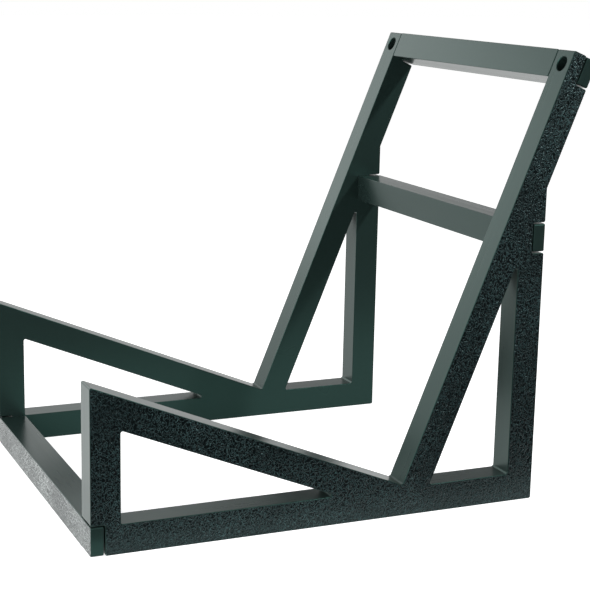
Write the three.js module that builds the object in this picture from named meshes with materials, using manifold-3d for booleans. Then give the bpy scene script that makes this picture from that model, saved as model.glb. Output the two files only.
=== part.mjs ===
// A desk stand for a small amplifier, in printed plastic, that unscrews into five flat pieces.
// Two side frames stand upright. Each has a seat that falls towards the rear and a back square
// to it, so the amplifier leans back and points up at the player. Three cross bars hold the
// frames apart, and each ends in a tenon that lies in a notch in the frame's edge: the front
// bar under the front posts, the middle bar across the rear posts and the top bar between the
// upper ends of the backs.
//
// Millimetres. +X runs to the right as the stand is seen from the front, +Y to the rear and
// +Z up.

import * as THREE from "three";
import { mergeVertices } from "three/addons/utils/BufferGeometryUtils.js";
import Module from "manifold-3d";

const wasm = await Module();
wasm.setup();

// ---------------------------------------------------------------- sizes

// Side frames
const BAR = 12.5; // width of every member of a frame, and the square section of a cross bar
const FRAME_THICKNESS = 12.5; // across the stand
const STAND_WIDTH = 171; // over the outer faces of both frames
const BASE_DEPTH = 201.5; // front face of the front post to rear face of the rear post
const SEAT_CORNER_DEPTH = 137.25; // front face of the post to the corner of seat and back
const SEAT_CORNER_HEIGHT = 13.75; // floor to that corner
const LEAN_DEG = 22.1; // the back from upright, and the seat from level
const BACK_LENGTH = 197.5; // that corner to the top end, along the front face of the back
const CORNER_RADIUS = 0.8; // every corner of a printed outline

// Cross bars and their joints
const MIDDLE_BAR_TOP = 123.75; // floor to the top face of the middle bar
const TENON_DEPTH = 5.4; // the tenon's share of the bar's own depth
const TENON_RELIEF = 0.2; // the tenon is this much lower than the bar, above and below
const JOINT_GAP = 0.6; // between a tenon and the walls of its notch
const SHOULDER_GAP = 0.3; // between a bar's shoulder and the frame's inner face

// Button head screws, M3 x 6
const SCREW_DIAMETER = 2.9;
const SCREW_LENGTH = 6;
const SCREW_CHAMFER = 0.3; // at the tip
const HEAD_DIAMETER = 5.7;
const HEAD_HEIGHT = 1.65;
const SOCKET_ACROSS_FLATS = 2;
const SOCKET_DEPTH = 1;
const SCREW_CLEARANCE = 0.25; // round the shank
const HEAD_CLEARANCE = 0.45; // round the head
const HEAD_SEAT_GAP = 0.2; // under the head
const BACK_FLOOR = 1.9; // plastic under the head in the leaning back
const TENON_FLOOR = 2.4; // plastic under the head in the middle bar's tenon

// Brass inserts, melted into the plastic
const INSERT_DIAMETER = 4.6;
const INSERT_LENGTH = 4;
const INSERT_GROOVE_DEPTH = 0.35;
const INSERT_GROOVE_WIDTH = 0.9;
const INSERT_CLEARANCE = 0.15; // round it, at its mouth and past its end
const TIP_CLEARANCE = 0.5; // past the tip of the screw

// Steel pins that lock the front bar from below
const PIN_DIAMETER = 3;
const PIN_LENGTH = 20;
const PIN_CHAMFER = 0.4; // at both ends
const PIN_RECESS = 1; // floor to its lower end
const PIN_CLEARANCE = 0.15; // round it and past its upper end

// Facets
const CORNER_DIVISIONS = 3; // pairs of facets in a rounded corner
const ROUND_SEGMENTS = 32; // facets round a hole or a turned piece
const DOME_SEGMENTS = 6; // facets up the dome of a screw head

// Finishes
const PLASTIC = { color: 0x2b3432, roughness: 0.55, metalness: 0 };
const BLACK_STEEL = { color: 0x17191a, roughness: 0.4, metalness: 0.9 };
const BRASS = { color: 0xb8904a, roughness: 0.35, metalness: 1 };
const BRIGHT_STEEL = { color: 0xa9adb0, roughness: 0.25, metalness: 1 };

// ---------------------------------------------------------------- the side view

// Points of the side view are (depth behind the front face, height above the floor).
const point = (depth, height) => new THREE.Vector2(depth, height);
const moved = (start, direction, distance) => start.clone().addScaledVector(direction, distance);

const lean = THREE.MathUtils.degToRad(LEAN_DEG);
const REARWARDS = point(1, 0);
const UPWARDS = point(0, 1);
const UP_THE_BACK = point(Math.sin(lean), Math.cos(lean));
const DOWN_THE_SEAT = point(Math.cos(lean), -Math.sin(lean)); // square into the back

// Where a sloping line through a point reaches a given depth, or a given height.
function atDepth(start, direction, depth) {
  return moved(start, direction, (depth - start.x) / direction.x);
}

function atHeight(start, direction, height) {
  return moved(start, direction, (height - start.y) / direction.y);
}

const seatCorner = point(SEAT_CORNER_DEPTH, SEAT_CORNER_HEIGHT);
const postTip = atDepth(seatCorner, DOWN_THE_SEAT, 0);
const backRear = moved(seatCorner, DOWN_THE_SEAT, BAR); // on the rear face of the back
const rearBend = atDepth(backRear, UP_THE_BACK, BASE_DEPTH); // rear post meets the back
const topFront = moved(seatCorner, UP_THE_BACK, BACK_LENGTH);
const topRear = moved(topFront, DOWN_THE_SEAT, BAR);

// Where a line that runs to the rear leaves the frame: at the rear face of the post or of the
// back, whichever lies further out.
function rearEdge(start, direction) {
  const ahead = backRear.clone().sub(start).dot(DOWN_THE_SEAT) / direction.dot(DOWN_THE_SEAT);
  const onBack = moved(start, direction, ahead);
  const onPost = atDepth(start, direction, BASE_DEPTH);
  return onPost.x > onBack.x ? onPost : onBack;
}

// A bar's seat in the edge of the frame: where the lower outer edge of the bar lies, the way
// into the plastic and the way up the bar.
const frontSeat = {
  start: point(0, 0),
  inwards: REARWARDS,
  upwards: UPWARDS,
};
const middleSeat = {
  start: rearEdge(point(0, MIDDLE_BAR_TOP - BAR), REARWARDS),
  inwards: REARWARDS.clone().negate(),
  upwards: UPWARDS,
};
const topSeat = {
  start: moved(topRear, UP_THE_BACK, -BAR),
  inwards: DOWN_THE_SEAT.clone().negate(),
  upwards: UP_THE_BACK,
};

// A point of the side view from its depth and height in a seat.
function inSeat(seat, depth, height) {
  return moved(moved(seat.start, seat.inwards, depth), seat.upwards, height);
}

const NOTCH_DEPTH = TENON_DEPTH + JOINT_GAP;
const NOTCH_BOTTOM = TENON_RELIEF - JOINT_GAP;
const NOTCH_TOP = BAR - NOTCH_BOTTOM;

// A corner of a rear notch's floor, and the corner of its mouth behind it.
const floorCorner = (seat, height) => inSeat(seat, NOTCH_DEPTH, height);
const mouthCorner = (seat, height) =>
  rearEdge(floorCorner(seat, height), seat.inwards.clone().negate());

const rearFoot = point(BASE_DEPTH, 0);
const middleNotch = [
  mouthCorner(middleSeat, NOTCH_BOTTOM),
  floorCorner(middleSeat, NOTCH_BOTTOM),
  floorCorner(middleSeat, NOTCH_TOP),
  mouthCorner(middleSeat, NOTCH_TOP),
];
const topNotch = [
  mouthCorner(topSeat, NOTCH_BOTTOM),
  floorCorner(topSeat, NOTCH_BOTTOM),
  floorCorner(topSeat, BAR),
];

// The bend of the rear edge, on the stretch of the edge where it lies.
const bendBetween = (below, above) =>
  below.y < rearBend.y && rearBend.y < above.y ? [rearBend] : [];

// The frame's outline, from the front notch along the floor and round by the back and the seat.
const outline = [
  inSeat(frontSeat, NOTCH_DEPTH, 0),
  rearFoot,
  ...bendBetween(rearFoot, middleNotch[0]),
  ...middleNotch,
  ...bendBetween(middleNotch.at(-1), topNotch[0]),
  ...topNotch,
  topFront,
  seatCorner,
  postTip,
  inSeat(frontSeat, 0, NOTCH_TOP),
  inSeat(frontSeat, NOTCH_DEPTH, NOTCH_TOP),
];

// The triangle between front post, seat and base.
const seatUnderside = moved(postTip, UP_THE_BACK, -BAR);
const frontOpening = [
  point(BAR, BAR),
  atHeight(seatUnderside, DOWN_THE_SEAT, BAR),
  atDepth(seatUnderside, DOWN_THE_SEAT, BAR),
];

// The triangle between back, rear post and base.
const rearOpening = [
  atHeight(backRear, UP_THE_BACK, BAR),
  point(BASE_DEPTH - BAR, BAR),
  atDepth(backRear, UP_THE_BACK, BASE_DEPTH - BAR),
];

// Draws a closed outline with an arc at each corner. An arc takes at most half of the side next
// to it.
function drawRounded(path, corners) {
  corners.forEach((corner, i) => {
    const toLast = corners.at(i - 1).clone().sub(corner);
    const toNext = corners[(i + 1) % corners.length].clone().sub(corner);
    const room = Math.min(toLast.length(), toNext.length()) / 2;
    toLast.normalize();
    toNext.normalize();
    const halfAngle = Math.acos(toLast.dot(toNext)) / 2;
    const radius = Math.min(CORNER_RADIUS, room * Math.tan(halfAngle));
    const straight = radius / Math.tan(halfAngle); // corner to either end of the arc
    const middle = toLast.clone().add(toNext).normalize();
    const centre = moved(corner, middle, radius / Math.sin(halfAngle));
    const start = moved(corner, toLast, straight).sub(centre).angle();
    const end = moved(corner, toNext, straight).sub(centre).angle();
    const clockwise = toLast.cross(toNext) > 0;
    path.absarc(centre.x, centre.y, radius, start, end, clockwise);
  });
  path.closePath();
  return path;
}

// ---------------------------------------------------------------- solids

// A closed surface as a solid that can be joined and cut.
function solid(geometry) {
  const bare = geometry.clone();
  bare.deleteAttribute("normal");
  bare.deleteAttribute("uv");
  const merged = mergeVertices(bare, 1e-4);
  const index = Array.from(merged.index.array);
  const triangles = [];
  for (let i = 0; i < index.length; i += 3) {
    const [a, b, c] = index.slice(i, i + 3);
    if (a !== b && b !== c && c !== a) triangles.push(a, b, c);
  }
  return new wasm.Manifold(
    new wasm.Mesh({
      numProp: 3,
      vertProperties: merged.getAttribute("position").array,
      triVerts: new Uint32Array(triangles),
    }),
  );
}

// A named piece with flat faces from a solid.
function piece(name, made, finish) {
  const { vertProperties, triVerts } = made.getMesh();
  const indexed = new THREE.BufferGeometry();
  indexed.setAttribute("position", new THREE.BufferAttribute(vertProperties, 3));
  indexed.setIndex(new THREE.BufferAttribute(triVerts, 1));
  const geometry = indexed.toNonIndexed();
  geometry.computeVertexNormals();
  const mesh = new THREE.Mesh(geometry, new THREE.MeshStandardMaterial(finish));
  mesh.name = name;
  return mesh;
}

function cutAll(made, cuts) {
  return cuts.reduce((left, cut) => left.subtract(solid(cut)), made);
}

function extruded(shape, depth) {
  return new THREE.ExtrudeGeometry(shape, {
    depth,
    bevelEnabled: false,
    curveSegments: CORNER_DIVISIONS,
  });
}

// A direction and a point of the side view in the stand, the point at a given X.
const across = (direction) => new THREE.Vector3(0, direction.x, direction.y);
const atX = (x, p) => new THREE.Vector3(x, p.x, p.y);

// ---------------------------------------------------------------- holes and turned pieces

const FAR = 2 * BAR; // a cut that leaves the plastic runs on this far
const FRAME_CENTRE = (STAND_WIDTH - FRAME_THICKNESS) / 2; // X of a frame's middle plane

// The placing of a turned piece or hole: it starts at a point and its +Y runs along the way.
function axisAt(start, way) {
  const turn = new THREE.Quaternion().setFromUnitVectors(new THREE.Vector3(0, 1, 0), way);
  return new THREE.Matrix4().compose(start, turn, new THREE.Vector3(1, 1, 1));
}

// A round hole along an axis, between two distances from its start.
function hole(axis, from, to, diameter) {
  const radius = diameter / 2;
  const cylinder = new THREE.CylinderGeometry(radius, radius, to - from, ROUND_SEGMENTS);
  return cylinder.translate(0, (from + to) / 2, 0).applyMatrix4(axis);
}

// A turned solid from its profile, given as pairs of radius and distance along the axis.
function turned(profile) {
  const points = profile.map(([radius, distance]) => new THREE.Vector2(radius, distance));
  return solid(new THREE.LatheGeometry(points, ROUND_SEGMENTS));
}

// A screw whose head lies before 0 on the axis and whose shank lies after it.
function screwSolid() {
  const headRadius = HEAD_DIAMETER / 2;
  const radius = SCREW_DIAMETER / 2;
  const profile = [];
  for (let i = 0; i <= DOME_SEGMENTS; i += 1) {
    const angle = ((1 - i / DOME_SEGMENTS) * Math.PI) / 2;
    profile.push([headRadius * Math.cos(angle), -HEAD_HEIGHT * Math.sin(angle)]);
  }
  profile[0][0] = 0;
  profile.push([radius, 0]);
  profile.push([radius, SCREW_LENGTH - SCREW_CHAMFER]);
  profile.push([radius - SCREW_CHAMFER, SCREW_LENGTH]);
  profile.push([0, SCREW_LENGTH]);

  const corner = SOCKET_ACROSS_FLATS / Math.sqrt(3); // axis to a corner of the hexagon
  const socket = new THREE.CylinderGeometry(corner, corner, 2 * SOCKET_DEPTH, 6);
  return cutAll(turned(profile), [socket.translate(0, -HEAD_HEIGHT, 0)]);
}

// A grooved insert with its mouth at 0 on the axis.
function insertSolid() {
  const radius = INSERT_DIAMETER / 2;
  const bore = SCREW_DIAMETER / 2 + SCREW_CLEARANCE;
  const groove = radius - INSERT_GROOVE_DEPTH;
  const grooveStart = (INSERT_LENGTH - INSERT_GROOVE_WIDTH) / 2;
  const grooveEnd = (INSERT_LENGTH + INSERT_GROOVE_WIDTH) / 2;
  return turned([
    [bore, 0],
    [radius, 0],
    [radius, grooveStart],
    [groove, grooveStart],
    [groove, grooveEnd],
    [radius, grooveEnd],
    [radius, INSERT_LENGTH],
    [bore, INSERT_LENGTH],
    [bore, 0],
  ]);
}

// A pin that starts at 0 on the axis.
function pinSolid() {
  const radius = PIN_DIAMETER / 2;
  return turned([
    [0, 0],
    [radius - PIN_CHAMFER, 0],
    [radius, PIN_CHAMFER],
    [radius, PIN_LENGTH - PIN_CHAMFER],
    [radius - PIN_CHAMFER, PIN_LENGTH],
    [0, PIN_LENGTH],
  ]);
}

// A screw's place: its axis starts on the floor of the counterbore and points the way it is
// driven, and the face that holds the insert lies a given distance along it.
function screwPlace(seat, x, floorDepth, way, mouth) {
  return { axis: axisAt(atX(x, inSeat(seat, floorDepth, BAR / 2)), across(way)), mouth };
}

// The top screws go in from the front through the leaning back and hold in the bar's tenon.
function topPlace(x) {
  const outwards = topSeat.inwards.clone().negate();
  return screwPlace(topSeat, x, NOTCH_DEPTH + BACK_FLOOR, outwards, BACK_FLOOR + JOINT_GAP);
}

// The middle screws go in from the rear through the bar's tenon and hold in the rear post.
function middlePlace(x) {
  const floorDepth = TENON_DEPTH - TENON_FLOOR;
  return screwPlace(middleSeat, x, floorDepth, middleSeat.inwards, TENON_FLOOR + JOINT_GAP);
}

// The cuts for a screw in the piece it passes through.
function screwHole({ axis, mouth }) {
  return [
    hole(axis, -FAR, 0, HEAD_DIAMETER + 2 * HEAD_CLEARANCE),
    hole(axis, -FAR, mouth, SCREW_DIAMETER + 2 * SCREW_CLEARANCE),
  ];
}

// The cut for the insert in the piece that holds it.
function insertPocket({ axis, mouth }) {
  const pastInsert = mouth + INSERT_LENGTH + 2 * INSERT_CLEARANCE;
  const pastTip = SCREW_LENGTH - HEAD_SEAT_GAP + TIP_CLEARANCE;
  const end = Math.max(pastInsert, pastTip);
  return hole(axis, mouth - JOINT_GAP, end, INSERT_DIAMETER + 2 * INSERT_CLEARANCE);
}

function screw(name, { axis }) {
  const mesh = piece(name, screwSolid(), BLACK_STEEL);
  mesh.applyMatrix4(axis);
  return mesh.translateY(-HEAD_SEAT_GAP);
}

function insert(name, { axis, mouth }) {
  const mesh = piece(name, insertSolid(), BRASS);
  mesh.applyMatrix4(axis);
  return mesh.translateY(mouth + INSERT_CLEARANCE);
}

// The pins stand in the middle of the front bar's tenons.
function pinAxis(x) {
  return axisAt(atX(x, inSeat(frontSeat, TENON_DEPTH / 2, 0)), across(UPWARDS));
}

function pinHole(x) {
  const end = PIN_RECESS + PIN_LENGTH + PIN_CLEARANCE;
  return hole(pinAxis(x), -FAR, end, PIN_DIAMETER + 2 * PIN_CLEARANCE);
}

function pin(name, x) {
  const mesh = piece(name, pinSolid(), BRIGHT_STEEL);
  mesh.applyMatrix4(pinAxis(x));
  return mesh.translateY(PIN_RECESS);
}

// ---------------------------------------------------------------- frames and cross bars

// A side frame round a middle plane at x, with its notches and with the holes for its pins,
// screws and insert.
function sideFrame(name, x) {
  const shape = drawRounded(new THREE.Shape(), outline);
  shape.holes.push(drawRounded(new THREE.Path(), frontOpening));
  shape.holes.push(drawRounded(new THREE.Path(), rearOpening));
  const standing = new THREE.Matrix4().makeBasis(
    across(REARWARDS),
    across(UPWARDS),
    new THREE.Vector3(1, 0, 0),
  );
  const flat = extruded(shape, FRAME_THICKNESS).translate(0, 0, -FRAME_THICKNESS / 2);
  const upright = flat.applyMatrix4(standing).translate(x, 0, 0);
  const cuts = [pinHole(x), insertPocket(middlePlace(x)), ...screwHole(topPlace(x))];
  return piece(name, cutAll(solid(upright), cuts), PLASTIC);
}

// A rectangle round a bar's middle, from a height to another, as it is printed.
function plate(halfLength, bottom, top) {
  return drawRounded(new THREE.Shape(), [
    point(-halfLength, bottom),
    point(halfLength, bottom),
    point(halfLength, top),
    point(-halfLength, top),
  ]);
}

// A cross bar, made as it is printed and then laid in its seat: a square body between the
// frames and, in its outer half, the slice that runs on as a tenon at each end.
function crossBar(name, seat, cuts) {
  const shoulder = STAND_WIDTH / 2 - FRAME_THICKNESS - SHOULDER_GAP;
  const body = extruded(plate(shoulder, 0, BAR), BAR);
  const tenons = plate(STAND_WIDTH / 2, TENON_RELIEF, BAR - TENON_RELIEF);
  const slice = extruded(tenons, TENON_DEPTH);

  const inwards = across(seat.inwards);
  const upwards = across(seat.upwards);
  const sideways = new THREE.Vector3().crossVectors(upwards, inwards);
  const seated = new THREE.Matrix4().makeBasis(sideways, upwards, inwards);
  seated.setPosition(atX(0, seat.start));
  const unseated = seated.clone().invert();

  const flatCuts = cuts.map((cut) => cut.applyMatrix4(unseated));
  const mesh = piece(name, cutAll(solid(body).add(solid(slice)), flatCuts), PLASTIC);
  mesh.applyMatrix4(seated);
  return mesh;
}

// ---------------------------------------------------------------- the stand

const SIDES = [
  ["right", FRAME_CENTRE],
  ["left", -FRAME_CENTRE],
];
const atBothEnds = (make) => SIDES.flatMap(([, x]) => make(x));

const stand = new THREE.Group();
stand.name = "stand";

stand.add(crossBar("front_bar", frontSeat, atBothEnds(pinHole)));
stand.add(crossBar("middle_bar", middleSeat, atBothEnds((x) => screwHole(middlePlace(x)))));
stand.add(crossBar("top_bar", topSeat, atBothEnds((x) => insertPocket(topPlace(x)))));

for (const [side, x] of SIDES) {
  stand.add(sideFrame(`side_frame_${side}`, x));
  stand.add(screw(`top_screw_${side}`, topPlace(x)));
  stand.add(insert(`top_insert_${side}`, topPlace(x)));
  stand.add(screw(`middle_screw_${side}`, middlePlace(x)));
  stand.add(insert(`middle_insert_${side}`, middlePlace(x)));
  stand.add(pin(`front_pin_${side}`, x));
}

// The origin goes to the middle of the stand's box, on the floor.
const box = new THREE.Box3().setFromObject(stand);
stand.position.y = -(box.min.y + box.max.y) / 2;

const group = new THREE.Group();
group.name = "amp_stand";
group.add(stand);

export default group;
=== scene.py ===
"""A knock-down desk stand for a small amplifier, in printed plastic.

Two triangulated side frames stand upright, and three square cross bars hold them apart. Each bar
ends in a tenon that lies in a notch in the frame's edge. Button head screws, brass inserts and
steel pins hold the joints. Metres, with +X to the right, +Y to the rear and +Z up.
"""

import math

import bmesh
import bpy
import numpy as np
from mathutils import Matrix, Vector


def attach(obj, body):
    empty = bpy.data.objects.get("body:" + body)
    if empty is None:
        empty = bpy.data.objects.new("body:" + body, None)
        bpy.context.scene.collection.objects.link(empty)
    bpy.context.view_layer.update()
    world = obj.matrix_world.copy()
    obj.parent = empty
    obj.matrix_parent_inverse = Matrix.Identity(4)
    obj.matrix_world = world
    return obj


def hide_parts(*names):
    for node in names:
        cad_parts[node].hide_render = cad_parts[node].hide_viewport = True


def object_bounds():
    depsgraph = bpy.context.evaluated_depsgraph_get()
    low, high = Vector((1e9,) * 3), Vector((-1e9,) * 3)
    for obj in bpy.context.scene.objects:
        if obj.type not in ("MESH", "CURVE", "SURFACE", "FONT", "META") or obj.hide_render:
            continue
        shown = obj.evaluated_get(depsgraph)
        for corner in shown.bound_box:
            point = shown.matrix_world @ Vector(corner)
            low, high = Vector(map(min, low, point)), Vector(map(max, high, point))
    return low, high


bl_info = {
    "name": "Printed Amp Stand",
    "version": (1, 0, 0),
    "blender": (4, 5, 0),
    "location": "View3D > Sidebar > Stand",
    "description": "Builds the visible pieces, finishes and stage of a printed desk amp stand",
    "category": "Object",
}

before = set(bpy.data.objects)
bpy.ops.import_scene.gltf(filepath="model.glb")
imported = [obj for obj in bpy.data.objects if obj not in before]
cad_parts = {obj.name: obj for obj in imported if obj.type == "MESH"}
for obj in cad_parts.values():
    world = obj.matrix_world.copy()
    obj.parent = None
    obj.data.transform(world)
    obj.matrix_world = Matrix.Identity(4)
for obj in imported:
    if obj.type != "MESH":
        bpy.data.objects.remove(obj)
CAD_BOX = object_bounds()

MM = 0.001
SIDES = {"right": 1.0, "left": -1.0}
FRONT = CAD_BOX[0][1]  # Y of the front face of the front posts
TOUCHING = 1e-7  # metres, between points that are the same
PLA_IOR = 1.46


# ---------------------------------------------------------------- settings


def length(name, description, millimetres):
    """A size in metres whose default is given in millimetres."""
    return bpy.props.FloatProperty(
        name=name,
        description=description,
        default=millimetres * MM,
        min=0.0,
        precision=5,
        unit="LENGTH",
    )


def colour(name, description, srgb):
    """A colour whose default is an sRGB hex value, held as linear light."""
    return bpy.props.FloatVectorProperty(
        name=name,
        description=description,
        default=linear(srgb),
        size=4,
        min=0.0,
        max=1.0,
        subtype="COLOR",
    )


def linear(srgb):
    """An sRGB hex value as linear red, green, blue and alpha."""
    channels = np.array([int(srgb[i : i + 2], 16) for i in (1, 3, 5)]) / 255
    low = channels / 12.92
    high = ((channels + 0.055) / 1.055) ** 2.4
    return (*np.where(channels <= 0.04045, low, high).tolist(), 1.0)


class StandSizes(bpy.types.PropertyGroup):
    """Sizes of the printed pieces."""

    bar: length("Bar", "Width of a frame's members and of a cross bar", 12.5)
    thickness: length("Frame Thickness", "Side frame, across the stand", 12.5)
    width: length("Width", "Over the outer faces of both frames", 171)
    base_depth: length("Base Depth", "Front posts to rear posts, over both", 201.5)
    seat_corner_depth: length("Seat Corner Depth", "Front face to the seat's inner corner", 137.25)
    seat_corner_height: length("Seat Corner Height", "Floor to the seat's inner corner", 13.75)
    lean: bpy.props.FloatProperty(
        name="Lean",
        description="The back from upright, and the seat from level",
        default=math.radians(22.1),
        min=0.0,
        max=math.radians(60),
        subtype="ANGLE",
    )
    back_length: length("Back Length", "Seat corner to the top end", 197.5)
    middle_bar_top: length("Middle Bar Top", "Floor to the top of the middle bar", 123.75)
    corner_radius: length("Corner Radius", "Corners of a printed outline", 0.8)
    tenon_depth: length("Tenon Depth", "Tenon, along the depth of its bar", 5.4)
    tenon_relief: length("Tenon Relief", "Tenon below the bar, above and under it", 0.2)
    joint_gap: length("Joint Gap", "Between a tenon and its notch", 0.6)
    shoulder_gap: length("Shoulder Gap", "Between a bar's shoulder and the frame", 0.3)


class PrintFinish(bpy.types.PropertyGroup):
    """How the printed plastic is finished, with the painted shade and highlight of its textured
    face.
    """

    edge: length("Edge", "Radius where a side meets the first or last layer", 0.3)
    seam: length("Seam", "Height of the bead where each layer starts and ends", 0.2)
    layer: length("Layer", "Height of a printed layer", 0.2)
    grain: length("Grain", "Spacing of the textured face's ridges", 1.2)
    plastic: colour("Plastic", "Printed plastic", "#1B2624")
    sheen: colour("Sheen", "Cast of the plastic's reflections", "#86D1C2")
    # Grooves darker than the plastic: painted shade in the grain's hollows.
    plate_groove_shade: colour("Plate Groove Shade", "Grooves of the textured face", "#070C0D")
    # Crests paler than the plastic: painted highlight where the crests would glint.
    plate_crest_highlight: colour("Plate Crest Highlight", "Crests of the textured face", "#3D5253")
    # Paler still on the front bar's face: a stronger painted highlight on its crests.
    front_crest_highlight: colour("Front Crest Highlight", "Crests of the front bar's face, rubbed pale", "#C6CFCC")
    plate_sheen: colour("Plate Sheen", "Cast of its reflections", "#A6CACA")


class FastenerSizes(bpy.types.PropertyGroup):
    """Sizes of the screws, inserts and pins, and of the holes for them."""

    screw: length("Screw", "Thread diameter", 2.9)
    screw_length: length("Screw Length", "Under the head", 6)
    pitch: length("Pitch", "From thread to thread", 0.5)
    head: length("Head", "Head diameter", 5.7)
    head_height: length("Head Height", "Dome of the head", 1.65)
    socket: length("Socket", "Hexagon, across its flats", 2)
    socket_depth: length("Socket Depth", "Hexagon, below the top of the head", 1)
    screw_clearance: length("Screw Clearance", "Round the thread", 0.25)
    head_clearance: length("Head Clearance", "Round the head", 0.45)
    head_seat_gap: length("Head Seat Gap", "Under the head", 0.2)
    back_floor: length("Back Floor", "Plastic under the head in the back", 1.9)
    tenon_floor: length("Tenon Floor", "Plastic under the head in a tenon", 2.4)
    insert: length("Insert", "Insert diameter", 4.6)
    insert_length: length("Insert Length", "Insert, end to end", 4)
    insert_clearance: length("Insert Clearance", "Round the insert", 0.15)
    tip_clearance: length("Tip Clearance", "Past the tip of the screw", 0.5)
    pin: length("Pin", "Pin diameter", 3)
    pin_length: length("Pin Length", "Pin, end to end", 20)
    pin_recess: length("Pin Recess", "Floor to the pin's lower end", 1)
    pin_clearance: length("Pin Clearance", "Round the pin", 0.15)
    black_steel: colour("Black Steel", "Black oxide on the screws", "#1E1D1B")
    brass: colour("Brass", "Brass of the inserts", "#D9B36C")
    bright_steel: colour("Bright Steel", "Ground steel of the pins", "#C4C5C7")


class StageSettings(bpy.types.PropertyGroup):
    """Floor, light and camera."""

    floor: colour("Floor", "Pale floor", "#EDEDED")
    surround: bpy.props.FloatProperty(
        name="Surround",
        description="Light of the surroundings on dull surfaces",
        default=0.3,
        min=0.0,
    )


# ---------------------------------------------------------------- the side view

# A point of the side view is (depth behind the front face, height above the floor).


def along(start, direction, distance):
    """The point at a distance from the start."""
    return start + direction * distance


class SideView:
    """Lines and corners of a side frame, worked out from the sizes as the solid model does."""

    SEAT_CORNER = 11  # its place in the outline

    def __init__(self, sizes):
        self.sizes = sizes
        self.frame_x = (sizes.width - sizes.thickness) / 2  # from the middle to a frame's middle
        sine, cosine = math.sin(sizes.lean), math.cos(sizes.lean)
        self.up_the_back = np.array([sine, cosine])
        self.down_the_seat = np.array([cosine, -sine])
        self.seat_corner = np.array([sizes.seat_corner_depth, sizes.seat_corner_height])
        self.post_tip = self.at_depth(self.seat_corner, self.down_the_seat, 0.0)
        self.back_rear = along(self.seat_corner, self.down_the_seat, sizes.bar)
        self.rear_bend = self.at_depth(self.back_rear, self.up_the_back, sizes.base_depth)
        self.top_front = along(self.seat_corner, self.up_the_back, sizes.back_length)
        self.top_rear = along(self.top_front, self.down_the_seat, sizes.bar)

        rearwards, upwards = np.array([1.0, 0.0]), np.array([0.0, 1.0])
        self.seats = {
            "front": (np.zeros(2), rearwards, upwards),
            "middle": (
                np.array([sizes.base_depth, sizes.middle_bar_top - sizes.bar]),
                -rearwards,
                upwards,
            ),
            "top": (
                along(self.top_rear, self.up_the_back, -sizes.bar),
                -self.down_the_seat,
                self.up_the_back,
            ),
        }

    @staticmethod
    def at_depth(start, direction, depth):
        """Where the line through the start comes to a depth."""
        return along(start, direction, (depth - start[0]) / direction[0])

    @staticmethod
    def at_height(start, direction, height):
        """Where the line through the start comes to a height."""
        return along(start, direction, (height - start[1]) / direction[1])

    def in_seat(self, seat, depth, height):
        """A point from its depth and height in a bar's seat."""
        start, inwards, upwards = self.seats[seat]
        return start + inwards * depth + upwards * height

    def outline(self):
        """The frame's corners, anticlockwise, from the front notch along the floor."""
        sizes = self.sizes
        depth = sizes.tenon_depth + sizes.joint_gap
        low = sizes.tenon_relief - sizes.joint_gap
        high = sizes.bar - low
        return np.array(
            [
                self.in_seat("front", depth, 0),
                (sizes.base_depth, 0),
                self.in_seat("middle", 0, low),
                self.in_seat("middle", depth, low),
                self.in_seat("middle", depth, high),
                self.in_seat("middle", 0, high),
                self.rear_bend,
                self.in_seat("top", 0, low),
                self.in_seat("top", depth, low),
                self.in_seat("top", depth, sizes.bar),
                self.top_front,
                self.seat_corner,
                self.post_tip,
                self.in_seat("front", 0, high),
                self.in_seat("front", depth, high),
            ]
        )

    def openings(self):
        """The two triangles of the frame, clockwise: under the seat and behind the back."""
        bar = self.sizes.bar
        under = along(self.post_tip, self.up_the_back, -bar)
        seat_triangle = [
            (bar, bar),
            self.at_depth(under, self.down_the_seat, bar),
            self.at_height(under, self.down_the_seat, bar),
        ]
        back_triangle = [
            self.at_height(self.back_rear, self.up_the_back, bar),
            self.at_depth(self.back_rear, self.up_the_back, self.sizes.base_depth - bar),
            (self.sizes.base_depth - bar, bar),
        ]
        return np.array(seat_triangle), np.array(back_triangle)


# ---------------------------------------------------------------- shapes


def rounded(corners, radius, bead=None, steps=10):
    """Points and outward normals of a closed outline with an arc at each corner.

    An arc's centre lies on the corner's bisector, radius / sin(half angle) away, and its normals
    turn evenly from one side's normal to the next side's. A point is the centre plus, or at an
    inner corner minus, the radius times the normal. Bead gives each corner the height of a seam:
    a ridge of height times sin squared along the arc.
    """
    corners = np.asarray(corners, float)
    last = np.roll(corners, 1, 0) - corners
    following = np.roll(corners, -1, 0) - corners
    reach = np.minimum(np.linalg.norm(last, axis=1), np.linalg.norm(following, axis=1)) / 2
    last /= np.linalg.norm(last, axis=1)[:, None]
    following /= np.linalg.norm(following, axis=1)[:, None]
    half = np.arccos(np.sum(last * following, 1)) / 2
    radii = np.minimum(radius, reach * np.tan(half))
    bisector = last + following
    bisector /= np.linalg.norm(bisector, axis=1)[:, None]
    centres = corners + bisector * (radii / np.sin(half))[:, None]

    travel = -last
    crossed = travel[:, 0] * following[:, 1] - travel[:, 1] * following[:, 0]
    turn = np.arctan2(crossed, np.sum(travel * following, 1))
    start = np.arctan2(-travel[:, 0], travel[:, 1])
    share = np.linspace(0, 1, steps + 1)
    angle = start[:, None] + turn[:, None] * share
    normals = np.stack([np.cos(angle), np.sin(angle)], -1)
    points = centres[:, None] + (np.sign(turn) * radii)[:, None, None] * normals
    if bead is not None:
        ridge = np.asarray(bead, float)[:, None] * np.sin(np.pi * share) ** 2
        points = points + ridge[..., None] * normals
    return points.reshape(-1, 2), normals.reshape(-1, 2)


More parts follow.
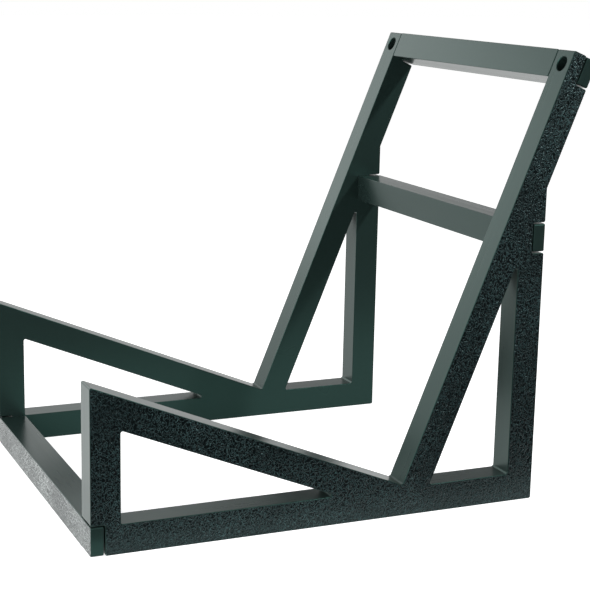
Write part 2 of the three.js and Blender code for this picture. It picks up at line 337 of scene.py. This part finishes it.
def joined(grid, ring=True):
    """Vertices and quads of a grid of points. A ring closes it round its second direction."""
    index = np.arange(grid[..., 0].size).reshape(grid.shape[:2])
    ahead = np.roll(index, -1, 1)
    quads = np.stack([index[:-1], ahead[:-1], ahead[1:], index[1:]], -1)
    if not ring:
        quads = quads[:, :-1]
    return grid.reshape(-1, 3), quads.reshape(-1, 4)


def linked(name, mesh):
    """An object of the scene that shows a mesh."""
    piece = bpy.data.objects.new(name, mesh)
    bpy.context.scene.collection.objects.link(piece)
    return piece


def new_object(name, vertices, faces):
    """An object at the origin from arrays of vertices and faces, with no doubled vertices."""
    mesh = bpy.data.meshes.new(name)
    mesh.from_pydata(vertices.tolist(), [], faces.tolist())
    made = bmesh.new()
    made.from_mesh(mesh)
    bmesh.ops.remove_doubles(made, verts=made.verts[:], dist=TOUCHING)
    bmesh.ops.recalc_face_normals(made, faces=made.faces[:])
    made.to_mesh(mesh)
    made.free()
    return linked(name, mesh)


def slab(name, loops, depth, edge, place, steps=4):
    """A printed plate from the outlines of its material, with softened rims.

    Each outline is carried through the depth. Near a face it draws in along a quarter circle:
    inset edge * (1 - sin a) at distance edge * (1 - cos a) from the face, for a from 0 to 90
    degrees. Place turns (outline u, outline v, depth) into the stand's frame.
    """
    angle = np.linspace(0, np.pi / 2, steps + 1)
    inset = edge * (1 - np.sin(angle))
    height = edge * (1 - np.cos(angle))
    insets = np.concatenate([inset, inset[::-1]])
    heights = np.concatenate([height, depth - height[::-1]])
    mesh = bmesh.new()
    for points, normals in loops:
        drawn = points - normals * insets[:, None, None]
        level = np.broadcast_to(heights[:, None, None], (*drawn.shape[:2], 1))
        grid = np.concatenate([drawn, level], -1)
        vertices, quads = joined(grid)
        wall = bpy.data.meshes.new(name)
        wall.from_pydata(vertices.tolist(), [], quads.tolist())
        mesh.from_mesh(wall)
        bpy.data.meshes.remove(wall)
    for level in (0.0, depth):
        rim = [
            side
            for side in mesh.edges
            if side.is_boundary and all(abs(end.co.z - level) < TOUCHING for end in side.verts)
        ]
        bmesh.ops.triangle_fill(mesh, edges=rim, use_beauty=True, normal=(0, 0, 1))
    bmesh.ops.recalc_face_normals(mesh, faces=mesh.faces[:])
    bmesh.ops.transform(mesh, matrix=place, verts=mesh.verts[:])
    if place.determinant() < 0:
        bmesh.ops.reverse_faces(mesh, faces=mesh.faces[:])
    made = bpy.data.meshes.new(name)
    mesh.to_mesh(made)
    mesh.free()
    return linked(name, made)


def full_turn(segments):
    """Angles at even steps round a circle."""
    return np.arange(segments) * 2 * np.pi / segments


def ring_grid(rings, angle):
    """Rings of points round +Z. Each has a radius, or one for every angle, and a distance."""
    cosine, sine = np.cos(angle), np.sin(angle)
    return np.array(
        [
            np.stack([radius * cosine, radius * sine, np.full_like(angle, distance)], -1)
            for radius, distance in rings
        ]
    )


def turned(name, radii, distances, axis, segments=48):
    """A turned piece: its profile of radius and distance is carried round the axis."""
    return surfaced(name, ring_grid(zip(radii, distances), full_turn(segments)), axis)


def surfaced(name, grid, axis):
    """A closed piece from rings of points round an axis, whose ends meet on it or close up."""
    points, quads = joined(grid)
    points = points @ np.array(axis.to_3x3()).T + np.array(axis.translation)
    return new_object(name, points, quads)


def combined(piece, tool, operation):
    """The piece with the tool's shape joined to it or cut from it. The tool is used up."""
    step = piece.modifiers.new("combined", "BOOLEAN")
    step.operation = operation
    step.solver = "EXACT"
    step.object = tool
    depsgraph = bpy.context.evaluated_depsgraph_get()
    shaped = bpy.data.meshes.new_from_object(piece.evaluated_get(depsgraph))
    piece.modifiers.clear()
    spent = piece.data
    piece.data = shaped
    bpy.data.meshes.remove(spent)
    shaped.name = piece.name
    bpy.data.objects.remove(tool)
    return piece


def axis_at(start, way):
    """A turned piece's place: it starts at a point and its own +Z runs along the way."""
    turn = Vector((0, 0, 1)).rotation_difference(Vector(way))
    return Matrix.Translation(start) @ turn.to_matrix().to_4x4()


# ---------------------------------------------------------------- places of the fasteners


def in_stand(x, spot):
    """A point of the side view in the stand, at a given X."""
    return Vector((x, spot[0] + FRONT, spot[1]))


def across(direction):
    """A direction of the side view in the stand."""
    return Vector((0, direction[0], direction[1]))


def screw_place(view, joint, x):
    """The axis of a screw, from the floor of its counterbore, and how far on its insert is.

    Top screws go in from the front through the back and hold in the bar. Middle screws go in
    from the rear through the bar and hold in the rear post.
    """
    sizes, parts = view.sizes, bpy.context.scene.stand_fasteners
    inwards = view.seats[joint][1]
    if joint == "top":
        depth = sizes.tenon_depth + sizes.joint_gap + parts.back_floor
        spot = view.in_seat(joint, depth, sizes.bar / 2)
        return axis_at(in_stand(x, spot), across(-inwards)), parts.back_floor + sizes.joint_gap
    spot = view.in_seat(joint, sizes.tenon_depth - parts.tenon_floor, sizes.bar / 2)
    return axis_at(in_stand(x, spot), across(inwards)), parts.tenon_floor + sizes.joint_gap


def pin_axis(view, x):
    """The axis of a pin, upwards from the floor under the middle of the front bar's tenon."""
    return axis_at(in_stand(x, view.in_seat("front", view.sizes.tenon_depth / 2, 0)), (0, 0, 1))


def bore(radius, start, end, axis):
    """A cutter for a round hole between two distances along its axis."""
    return turned("cutter", [0, radius, radius, 0], [start, start, end, end], axis)


def screw_bore(place, mouth):
    """A cutter for a screw: its clearance hole, its counterbore and the rim's small chamfer."""
    axis, insert = place
    parts = bpy.context.scene.stand_fasteners
    shank = parts.screw / 2 + parts.screw_clearance
    head = parts.head / 2 + parts.head_clearance
    rim = 0.25 * MM
    far = 10 * MM
    radii = [0, shank, shank, head, head, head + rim, head + rim, 0]
    distances = [insert + far, insert + far, 0, 0, rim - mouth, -mouth, -mouth - far, -mouth - far]
    return turned("cutter", radii, distances, axis)


def insert_bore(place):
    """A cutter for the pocket that holds an insert and takes the tip of its screw."""
    axis, mouth = place
    parts = bpy.context.scene.stand_fasteners
    past_insert = mouth + parts.insert_length + 2 * parts.insert_clearance
    past_tip = parts.screw_length - parts.head_seat_gap + parts.tip_clearance
    radius = parts.insert / 2 + parts.insert_clearance
    start = mouth - bpy.context.scene.stand_sizes.joint_gap / 2
    return bore(radius, start, max(past_insert, past_tip), axis)


def pin_bore(view, x):
    """A cutter for a pin, from under the floor to past its upper end."""
    parts = bpy.context.scene.stand_fasteners
    start = -5 * MM
    end = parts.pin_recess + parts.pin_length + parts.pin_clearance
    return bore(parts.pin / 2 + parts.pin_clearance, start, end, pin_axis(view, x))


# ---------------------------------------------------------------- materials


def node(tree, kind, links=(), **settings):
    """Adds a node, sets its properties and sockets, and links what it reads.

    A setting named in_NAME or in_INDEX sets an input socket. Links are (socket, output) pairs.
    Sockets 1 to 4 of a Map Range are its two ranges. Sockets 6 and 7 of a Mix are its two
    colours, and its output 2 is the colour they make.
    """
    made = tree.nodes.new(kind)
    for key, value in settings.items():
        if key.startswith("in_"):
            socket = key[3:].replace("_", " ")
            made.inputs[int(socket) if socket.isdigit() else socket].default_value = value
        else:
            setattr(made, key, value)
    for socket, output in links:
        tree.links.new(output, made.inputs[socket])
    return made


def material(name):
    """An empty material with its tree, its shader and its object coordinates."""
    made = bpy.data.materials.new(name)
    made.use_nodes = True
    tree = made.node_tree
    shader = tree.nodes["Principled BSDF"]
    place = tree.nodes.new("ShaderNodeTexCoord").outputs["Object"]
    return made, tree, shader, place


def printed_side(name, turn):
    """Fused filament PLA, the side of the print: satin, with fine level layer lines.

    The bands give the long soft streaks of stacked layers. Real layers of 0.2 mm are finer than
    a pixel here, so the bands that show are the slower drift of every few layers together.
    """
    finish = bpy.context.scene.stand_finish
    made, tree, shader, place = material(name)
    shader.inputs["Base Color"].default_value = finish.plastic
    shader.inputs["Specular Tint"].default_value = finish.sheen
    shader.inputs["IOR"].default_value = PLA_IOR
    band, streak = 8 * finish.layer, 80 * MM
    layered = node(
        tree,
        "ShaderNodeMapping",
        [("Vector", place)],
        vector_type="TEXTURE",
        in_Rotation=turn,
        in_Scale=(band, streak, streak),
    )
    drift = node(
        tree,
        "ShaderNodeTexNoise",
        [("Vector", layered.outputs["Vector"])],
        in_Scale=1.0,
        in_Detail=3.0,
        in_Roughness=0.6,
    )
    rough = node(
        tree,
        "ShaderNodeMapRange",
        [("Value", drift.outputs["Fac"])],
        in_3=0.24,
        in_4=0.34,
    )
    tree.links.new(rough.outputs["Result"], shader.inputs["Roughness"])
    bump = node(
        tree,
        "ShaderNodeBump",
        [("Height", drift.outputs["Fac"])],
        in_Strength=0.35,
        in_Distance=0.04 * MM,
    )
    tree.links.new(bump.outputs["Normal"], shader.inputs["Normal"])
    return made


def printed_face(name, highlight_colour, relief=0.6):
    """Fused filament PLA, the face that lay on the textured print plate.

    The plate's powder coating leaves a haircell grain of fine worm-like ridges whose flanks catch
    the light as sparkle. The grooves are coloured darker than the plastic as painted shade, and the
    crests paler as painted highlight. The ridges are noise folded at its middle level, drawn more
    than twice as coarse as the real 0.5 mm so that they show. Relief is their height for each unit
    of the grain. Broad patches, where the first layer lay more or less firmly on the plate, vary
    the roughness and the strength of the painted crest highlight.
    """
    finish = bpy.context.scene.stand_finish
    patch = 30 * MM
    made, tree, shader, place = material(name)
    shader.inputs["Specular Tint"].default_value = finish.plate_sheen
    shader.inputs["IOR"].default_value = PLA_IOR
    worms = node(
        tree,
        "ShaderNodeTexNoise",
        [("Vector", place)],
        in_Scale=1 / finish.grain,
        in_Detail=2.0,
        in_Distortion=0.5,
    )
    level = node(
        tree, "ShaderNodeMath", [(0, worms.outputs["Fac"])], operation="SUBTRACT", in_1=0.5
    )
    ridges = node(tree, "ShaderNodeMath", [(0, level.outputs["Value"])], operation="ABSOLUTE")
    patches = node(
        tree,
        "ShaderNodeTexNoise",
        [("Vector", place)],
        in_Scale=1 / patch,
        in_Detail=2.0,
    )
    # Patch by patch strength of the painted crest highlight.
    highlit = node(
        tree,
        "ShaderNodeMapRange",
        [("Value", patches.outputs["Fac"])],
        in_1=0.35,
        in_2=0.65,
        in_3=0.4,
        in_4=1.0,
    )
    # Mask of the painted crest highlight: crests take the paler colour, grooves the darker painted
    # shade.
    crest_highlights = node(
        tree,
        "ShaderNodeMapRange",
        [("Value", ridges.outputs["Value"]), (3, highlit.outputs["Result"])],
        in_1=0.0,
        in_2=0.04,
        in_4=0.0,
    )
    # Base colour with painted shade in the grooves and painted highlight on the crests.
    shade = node(
        tree,
        "ShaderNodeMix",
        [("Factor", crest_highlights.outputs["Result"])],
        data_type="RGBA",
        in_6=finish.plate_groove_shade,
        in_7=highlight_colour,
    )
    tree.links.new(shade.outputs[2], shader.inputs["Base Color"])
    rough = node(
        tree,
        "ShaderNodeMapRange",
        [("Value", patches.outputs["Fac"])],
        in_1=0.35,
        in_2=0.65,
        in_3=0.24,
        in_4=0.15,
    )
    tree.links.new(rough.outputs["Result"], shader.inputs["Roughness"])
    bump = node(
        tree,
        "ShaderNodeBump",
        [("Height", ridges.outputs["Value"])],
        invert=True,
        in_Strength=1.0,
        in_Distance=relief * finish.grain,
    )
    tree.links.new(bump.outputs["Normal"], shader.inputs["Normal"])
    return made


def machined_metal(name, base, roughness, grit):
    """Metal with the fine uneven sheen of a turned, ground or coated surface, grit apart."""
    made, tree, shader, place = material(name)
    shader.inputs["Base Color"].default_value = base
    shader.inputs["Metallic"].default_value = 1.0
    uneven = node(tree, "ShaderNodeTexNoise", [("Vector", place)], in_Scale=1 / grit, in_Detail=4.0)
    rough = node(
        tree,
        "ShaderNodeMapRange",
        [("Value", uneven.outputs["Fac"])],
        in_3=roughness - 0.08,
        in_4=roughness + 0.1,
    )
    tree.links.new(rough.outputs["Result"], shader.inputs["Roughness"])
    return made


def smoothed(piece, limit=40):
    """Soft shading over arcs and rims, with true edges kept and flat faces flat."""
    piece.data.shade_smooth()
    piece.data.set_sharp_from_angle(angle=math.radians(limit))
    normals = piece.modifiers.new("normals", "WEIGHTED_NORMAL")
    normals.keep_sharp = True
    normals.weight = 90
    return piece


def finished(piece, stands_for, materials):
    """Gives a piece its materials and its body, and hides the solid that it stands for."""
    for each in materials:
        piece.data.materials.append(each)
    smoothed(piece)
    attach(piece, "root")
    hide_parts(stands_for)
    return piece


def grained(piece, outwards, reach):
    """Puts the second material on the faces that lie in the plane of the print plate."""
    count = len(piece.data.polygons)
    normals, centres = np.zeros(count * 3), np.zeros(count * 3)
    piece.data.polygons.foreach_get("normal", normals)
    piece.data.polygons.foreach_get("center", centres)
    out = np.array(outwards)
    parallel, tolerance = 0.99, 0.05 * MM
    facing = normals.reshape(-1, 3) @ out > parallel
    level = centres.reshape(-1, 3) @ out > reach - tolerance
    piece.data.polygons.foreach_set("material_index", (facing & level).astype(np.int32))


# ---------------------------------------------------------------- operators


class STAND_OT_side_frames(bpy.types.Operator):
    """Build both triangulated side frames with their notches and holes"""

    bl_idname = "stand.side_frames"
    bl_label = "Side Frames"

    def execute(self, context):
        sizes, finish = context.scene.stand_sizes, context.scene.stand_finish
        view = SideView(sizes)
        side = printed_side("PLA, print side, frames", (0, 0, 0))
        face = printed_face("PLA, textured plate, frames", finish.plate_crest_highlight)
        outline = view.outline()
        seam = np.zeros(len(outline))
        seam[view.SEAT_CORNER] = finish.seam
        seat_triangle, back_triangle = view.openings()
        loops = [
            rounded(outline, sizes.corner_radius, seam),
            rounded(seat_triangle, sizes.corner_radius),
            rounded(back_triangle, sizes.corner_radius, (0, 0, finish.seam)),  # lower rear corner
        ]
        for name, sign in SIDES.items():
            x = sign * view.frame_x
            place = Matrix(
                (
                    (0, 0, 1, x - sizes.thickness / 2),
                    (1, 0, 0, FRONT),
                    (0, 1, 0, 0),
                    (0, 0, 0, 1),
                )
            )
            piece = slab(f"printed_frame_{name}", loops, sizes.thickness, finish.edge, place)
            top = screw_place(view, "top", x)
            wall = sizes.bar - sizes.tenon_depth - sizes.joint_gap
            mouth = wall - context.scene.stand_fasteners.back_floor
            combined(piece, screw_bore(top, mouth), "DIFFERENCE")
            combined(piece, insert_bore(screw_place(view, "middle", x)), "DIFFERENCE")
            combined(piece, pin_bore(view, x), "DIFFERENCE")
            finished(piece, f"side_frame_{name}", [side, face])
            grained(piece, (sign, 0, 0), sizes.width / 2)
        return {"FINISHED"}


class STAND_OT_cross_bars(bpy.types.Operator):
    """Build the front, middle and top bars with their tenons"""

    bl_idname = "stand.cross_bars"
    bl_label = "Cross Bars"

    def execute(self, context):
        sizes, finish = context.scene.stand_sizes, context.scene.stand_finish
        view = SideView(sizes)
        plain = printed_face("PLA, textured plate, bars", finish.plate_crest_highlight)
        # The front bar's face takes the paler painted crest highlight and a deeper grain.
        glinting_front = printed_face("PLA, textured plate, front bar", finish.front_crest_highlight, relief=1.2)
        shoulder = sizes.width / 2 - sizes.thickness - sizes.shoulder_gap
        for joint, (start, inwards, upwards) in view.seats.items():
            deep, high = across(inwards), across(upwards)
            place = Matrix.Translation(in_stand(0, start)) @ Matrix(
                (Vector((1, 0, 0)), high, deep)
            ).transposed().to_4x4()
            piece = slab(
                f"printed_bar_{joint}",
                [self.plate(shoulder, 0, sizes.bar)],
                sizes.bar,
                finish.edge,
                place,
            )
            tenons = slab(
                "tenons",
                [self.plate(sizes.width / 2, sizes.tenon_relief, sizes.bar - sizes.tenon_relief)],
                sizes.tenon_depth,
                finish.edge,
                place,
            )
            combined(piece, tenons, "UNION")
            for x in (view.frame_x, -view.frame_x):
                for cutter in self.cutters(view, joint, x):
                    combined(piece, cutter, "DIFFERENCE")
            side = printed_side(f"PLA, print side, {joint} bar", self.stacking(inwards))
            face = glinting_front if joint == "front" else plain
            finished(piece, f"{joint}_bar", [side, face])
            outwards = -np.array(deep)
            grained(piece, outwards, float(np.array(in_stand(0, start)) @ outwards))
        return {"FINISHED"}

    @staticmethod
    def plate(half_length, low, high):
        """The rounded rectangle of a bar or of its tenons, anticlockwise."""
        corners = [
            (-half_length, low),
            (half_length, low),
            (half_length, high),
            (-half_length, high),
        ]
        return rounded(corners, bpy.context.scene.stand_sizes.corner_radius)

    @staticmethod
    def stacking(inwards):
        """The turn from X, along which layers are drawn, to a bar's printing direction."""
        turn = Vector((1, 0, 0)).rotation_difference(across(inwards))
        return tuple(turn.to_euler())

    @staticmethod
    def cutters(view, joint, x):
        """The cutters for the holes in a bar's end."""
        sizes, parts = view.sizes, bpy.context.scene.stand_fasteners
        if joint == "front":
            return [pin_bore(view, x)]
        if joint == "middle":
            mouth = sizes.tenon_depth - parts.tenon_floor
            return [screw_bore(screw_place(view, joint, x), mouth)]
        return [insert_bore(screw_place(view, joint, x))]


class STAND_OT_screws(bpy.types.Operator):
    """Build the four button head screws"""

    bl_idname = "stand.screws"
    bl_label = "Screws"

    def execute(self, context):
        parts = context.scene.stand_fasteners
        view = SideView(context.scene.stand_sizes)
        steel = machined_metal(
            "Steel, black oxide", parts.black_steel, roughness=0.42, grit=0.2 * MM
        )
        grid = self.screw(parts)
        for joint in ("top", "middle"):
            for name, sign in SIDES.items():
                axis, _ = screw_place(view, joint, sign * view.frame_x)
                seated = axis @ Matrix.Translation((0, 0, -parts.head_seat_gap))
                piece = surfaced(f"button_screw_{joint}_{name}", grid, seated)
                finished(piece, f"{joint}_screw_{name}", [steel])
        return {"FINISHED"}

    @staticmethod
    def screw(parts):
        """Rings of a screw, from the middle of its socket out over the dome and down the thread.

        The socket's ring is a hexagon: half the flats / cos of the angle from the nearest flat.
        Its floor is a drill's point with a softened edge, and its mouth is countersunk. The dome
        is an ellipse of the head's radius and height. The thread's radius falls by its depth
        times a triangle wave of (distance / pitch - angle / full turn). It fades in and out over
        one pitch.
        """
        angle = full_turn(72)
        sector = np.pi / 3
        hexagon = parts.socket / 2 / np.cos((angle + sector / 2) % sector - sector / 2)
        head, tall, radius = parts.head / 2, parts.head_height, parts.screw / 2
        drill_point, floor_edge = parts.socket_depth * 1.25, parts.socket_depth * 0.97
        countersink, countersink_radius = 0.18 * MM, parts.socket / math.sqrt(3) * 1.12
        brim_angle, head_edge, fillet = 0.12, 0.08 * MM, 0.1 * MM
        thread_start, thread_end = 0.25 * MM, parts.screw_length - 0.35 * MM
        thread_depth = 0.25 * MM
        tip_edge, tip_radius, end_radius = 0.02 * MM, radius - 0.3 * MM, radius - 0.36 * MM
        rings = [
            (0, drill_point - tall),
            (hexagon * 0.98, parts.socket_depth - tall),
            (hexagon, floor_edge - tall),
            (hexagon, countersink - tall),
        ]
        dome = np.linspace(np.arccos(countersink_radius / head), brim_angle, 9)
        rings += [(head * math.cos(a), -tall * math.sin(a)) for a in dome]
        rings += [
            (head, -head_edge),
            (head - head_edge, 0),
            (radius + fillet, 0),
            (radius, fillet),
        ]
        run = np.linspace(thread_start, thread_end, 96)
        turns = run[:, None] / parts.pitch - angle / (2 * np.pi)
        wave = np.abs((turns % 1) * 2 - 1)
        fade = np.clip((run - thread_start) / parts.pitch, 0, 1)
        fade *= np.clip((thread_end - run) / parts.pitch, 0, 1)
        thread = radius - thread_depth * wave * fade[:, None]
        rings += list(zip(thread, run))
        rings += [
            (tip_radius, parts.screw_length - tip_edge),
            (end_radius, parts.screw_length),
            (0, parts.screw_length),
        ]
        return ring_grid(rings, angle)


class STAND_OT_inserts(bpy.types.Operator):
    """Build the four knurled brass inserts"""

    bl_idname = "stand.inserts"
    bl_label = "Inserts"

    def execute(self, context):
        parts = context.scene.stand_fasteners
        view = SideView(context.scene.stand_sizes)
        brass = machined_metal("Brass, turned", parts.brass, roughness=0.3, grit=0.15 * MM)
        grid = self.insert(parts)
        for joint in ("top", "middle"):
            for name, sign in SIDES.items():
                axis, mouth = screw_place(view, joint, sign * view.frame_x)
                seated = axis @ Matrix.Translation((0, 0, mouth + parts.insert_clearance))
                piece = surfaced(f"brass_insert_{joint}_{name}", grid, seated)
                finished(piece, f"{joint}_insert_{name}", [brass])
        return {"FINISHED"}

    @staticmethod
    def insert(parts):
        """Rings of an insert, out over its mouth, down its knurl and back up its bore.

        The knurl cuts the radius by a ridge that runs one way in the upper band and the other
        way in the lower band: depth times a triangle wave of (ridges * angle / full turn +-
        slope). A groove runs round between the bands.
        """
        angle = full_turn(144)
        radius, tall = parts.insert / 2, parts.insert_length
        inner = parts.screw / 2 + parts.screw_clearance
        chamfer, shoulder = 0.15 * MM, 0.2 * MM
        ridges, ridge_depth, ridge_run = 24, 0.16 * MM, 1.2 * MM
        band_end, groove_start, groove = 1.55 * MM, 1.65 * MM, radius - 0.35 * MM

        def knurled(start, end, way):
            """The rings of a band, whose ridges fade at both ends."""
            run = np.linspace(start, end, 8)
            slope = way * (run - start) / ridge_run
            wave = np.abs(((ridges * angle / (2 * np.pi) + slope[:, None]) % 1) * 2 - 1)
            fade = np.sin(np.pi * np.linspace(0, 1, len(run))) ** 0.4
            band = radius - ridge_depth * (1 - (1 - wave) * fade[:, None])
            return list(zip(band, run))

        rings = [(inner, chamfer), (inner + chamfer, 0), (radius - shoulder, 0)]
        rings += knurled(shoulder, band_end, 1)
        rings += [(groove, groove_start), (groove, tall - groove_start)]
        rings += knurled(tall - band_end, tall - shoulder, -1)
        rings += [
            (radius - shoulder, tall),
            (inner + chamfer, tall),
            (inner, tall - chamfer),
            (inner, chamfer),
        ]
        return ring_grid(rings, angle)


class STAND_OT_pins(bpy.types.Operator):
    """Build the two steel pins that lock the front bar"""

    bl_idname = "stand.pins"
    bl_label = "Pins"

    def execute(self, context):
        parts = context.scene.stand_fasteners
        view = SideView(context.scene.stand_sizes)
        steel = machined_metal("Steel, ground", parts.bright_steel, roughness=0.25, grit=0.1 * MM)
        radius, tall, end_radius = parts.pin / 2, parts.pin_length, 0.4 * MM
        ease = np.linspace(0, np.pi / 2, 6)
        end_radii = radius - end_radius * (1 - np.sin(ease))
        end_levels = end_radius * (1 - np.cos(ease))
        radii = np.concatenate([[0], end_radii, end_radii[::-1], [0]])
        levels = np.concatenate([[0], end_levels, tall - end_levels[::-1], [tall]])
        for name, sign in SIDES.items():
            axis = pin_axis(view, sign * view.frame_x)
            seated = axis @ Matrix.Translation((0, 0, parts.pin_recess))
            piece = turned(f"steel_pin_{name}", radii, levels, seated)
            finished(piece, f"front_pin_{name}", [steel])
        return {"FINISHED"}


class STAND_OT_stage(bpy.types.Operator):
    """Build the floor, the light and the camera"""

    bl_idname = "stand.stage"
    bl_label = "Stage"

    FLOOR_GLOW = 0.76  # the floor's own light, so that it looks nearly white
    LAMPS = {  # place, side of the square in metres, watts
        "Fill Softbox": ((0.25, -0.68, 0.27), 0.5, 5.0),
        "Left Softbox": ((-1.0, -0.4, 0.5), 0.8, 1.2),
        "Left Low Softbox": ((-0.53, -0.15, 0.28), 0.25, 0.2),
        "Front Low Softbox": ((-0.3, -0.4, 0.1), 0.15, 0.15),
        "Right Small Lamp": ((0.8, 0.45, 0.6), 0.05, 6.0),
    }

    def execute(self, context):
        scene = context.scene
        scene.view_settings.view_transform = "Standard"
        self.surroundings(scene)
        self.floor(scene)
        self.flags()
        for name, (spot, size, power) in self.LAMPS.items():
            self.lamp(scene, name, spot, size, power)
        self.camera(scene)
        return {"FINISHED"}

    @staticmethod
    def seen(tree):
        """1 for rays that see the background: from the camera, in gloss and through glass."""
        path = tree.nodes.new("ShaderNodeLightPath")
        mirrored = node(
            tree,
            "ShaderNodeMath",
            [(0, path.outputs["Is Camera Ray"]), (1, path.outputs["Is Glossy Ray"])],
            operation="MAXIMUM",
        )
        return node(
            tree,
            "ShaderNodeMath",
            [(0, mirrored.outputs["Value"]), (1, path.outputs["Is Transmission Ray"])],
            operation="MAXIMUM",
        ).outputs["Value"]

    def surroundings(self, scene):
        """A white background, and a softer light from all round on dull surfaces."""
        world = bpy.data.worlds.new("White Studio")
        world.use_nodes = True
        scene.world = world
        tree = world.node_tree
        light = tree.nodes["Background"]
        light.inputs["Color"].default_value = (1, 1, 1, 1)
        light.inputs["Strength"].default_value = scene.stand_stage.surround
        white = node(tree, "ShaderNodeBackground", in_Color=(1, 1, 1, 1), in_Strength=1.0)
        links = [(0, self.seen(tree)), (1, light.outputs[0]), (2, white.outputs[0])]
        both = node(tree, "ShaderNodeMixShader", links)
        tree.links.new(both.outputs[0], tree.nodes["World Output"].inputs["Surface"])

    def floor(self, scene):
        """A level pale floor that runs out of sight and keeps the stand's shadow."""
        reach = 6.0
        corners = reach * np.array([[-1, -1, 0], [1, -1, 0], [1, 1, 0], [-1, 1, 0]])
        floor = new_object("floor", corners, np.array([[0, 1, 2, 3]]))
        made, tree, shader, _ = material("Painted Floor, matt")
        shader.inputs["Base Color"].default_value = scene.stand_stage.floor
        shader.inputs["Roughness"].default_value = 0.9
        shader.inputs["Specular IOR Level"].default_value = 0.0
        shader.inputs["Emission Color"].default_value = (1, 1, 1, 1)
        glow = node(
            tree,
            "ShaderNodeMath",
            [(0, self.seen(tree))],
            operation="MULTIPLY",
            in_1=self.FLOOR_GLOW,
        )
        tree.links.new(glow.outputs["Value"], shader.inputs["Emission Strength"])
        floor.data.materials.append(made)

    @staticmethod
    def flags():
        """Black cloths that only reflections see, as they hang beside a table shot.

        The right one runs along the floor, up through a quarter circle and straight up. The left
        one hangs upright, well out to the left and rear. Each profile is carried along Y.
        """
        start, bend, radius, lift, top = 0.1, 0.5, 0.3, 0.001, 1.0
        left_x, left_bottom, left_top = -2.0, 0.68, 1.8
        right_ends, left_ends = (-0.45, 1.0), (0.7, 2.2)
        turn = np.linspace(0, np.pi / 2, 9)
        sweep_x = np.concatenate([[start], bend + radius * np.sin(turn), [bend + radius]])
        sweep_z = np.concatenate([[lift], lift + radius * (1 - np.cos(turn)), [top]])
        profiles = {
            "right_flag": (sweep_x, sweep_z, right_ends),
            "left_flag": (np.full(2, left_x), np.array([left_bottom, left_top]), left_ends),
        }
        made, _, shader, _ = material("Cotton, black flock")
        shader.inputs["Base Color"].default_value = linear("#060707")
        shader.inputs["Roughness"].default_value = 1.0
        for name, (x, z, ends) in profiles.items():
            line = np.stack([x, np.zeros_like(x), z], -1)
            grid = line[:, None] + np.outer(ends, (0, 1, 0))
            cloth = new_object(name, *joined(grid, ring=False))
            cloth.data.materials.append(made)
            cloth.visible_camera = cloth.visible_diffuse = cloth.visible_shadow = False

    @staticmethod
    def lamp(scene, name, spot, size, power):
        """A square lamp that faces the middle of the stand."""
        middle = Vector((0, 0, 0.08))
        light = bpy.data.lights.new(name, "AREA")
        light.shape = "SQUARE"
        light.size = size
        light.energy = power
        lamp = bpy.data.objects.new(name, light)
        facing = middle - Vector(spot)
        lamp.matrix_world = (
            Matrix.Translation(spot) @ facing.to_track_quat("-Z", "Y").to_matrix().to_4x4()
        )
        lamp.visible_camera = False
        scene.collection.objects.link(lamp)

    @staticmethod
    def camera(scene):
        """The camera, from its place, its turn round the stand, its elevation and its roll."""
        place = (0.631738, -0.26581, 0.228462)
        azimuth, elevation, roll = (math.radians(a) for a in (66.324, 12.162, 1.18))
        facing = Vector(
            (
                -math.sin(azimuth) * math.cos(elevation),
                math.cos(azimuth) * math.cos(elevation),
                -math.sin(elevation),
            )
        )
        level = Vector((math.cos(azimuth), math.sin(azimuth), 0))
        upright = level.cross(facing)
        right = level * math.cos(roll) + upright * math.sin(roll)
        up = upright * math.cos(roll) - level * math.sin(roll)
        lens = bpy.data.cameras.new("Camera")
        lens.lens = 92.70
        lens.sensor_width = 36
        camera = bpy.data.objects.new("Camera", lens)
        turned_to = Matrix((right, up, -facing)).transposed().to_4x4()
        camera.matrix_world = Matrix.Translation(place) @ turned_to
        scene.collection.objects.link(camera)
        scene.camera = camera


# ---------------------------------------------------------------- panel


OPERATORS = (
    STAND_OT_side_frames,
    STAND_OT_cross_bars,
    STAND_OT_screws,
    STAND_OT_inserts,
    STAND_OT_pins,
    STAND_OT_stage,
)
SETTINGS = {
    "stand_sizes": StandSizes,
    "stand_finish": PrintFinish,
    "stand_fasteners": FastenerSizes,
    "stand_stage": StageSettings,
}


class STAND_PT_panel(bpy.types.Panel):
    """Lists the stand's pieces and its settings"""

    bl_idname = "STAND_PT_panel"
    bl_label = "Amp Stand"
    bl_space_type = "VIEW_3D"
    bl_region_type = "UI"
    bl_category = "Stand"

    def draw(self, context):
        for operator in OPERATORS:
            self.layout.operator(operator.bl_idname)
        for name, group in SETTINGS.items():
            box = self.layout.box()
            for setting in group.__annotations__:
                box.prop(getattr(context.scene, name), setting)


CLASSES = (*SETTINGS.values(), *OPERATORS, STAND_PT_panel)


def register():
    for each in CLASSES:
        bpy.utils.register_class(each)
    for name, group in SETTINGS.items():
        setattr(bpy.types.Scene, name, bpy.props.PointerProperty(type=group))


def unregister():
    for name in SETTINGS:
        delattr(bpy.types.Scene, name)
    for each in reversed(CLASSES):
        bpy.utils.unregister_class(each)


def main():
    register()
    bpy.ops.stand.side_frames()
    bpy.ops.stand.cross_bars()
    bpy.ops.stand.screws()
    bpy.ops.stand.inserts()
    bpy.ops.stand.pins()
    bpy.ops.stand.stage()


if __name__ == "__main__":
    main()
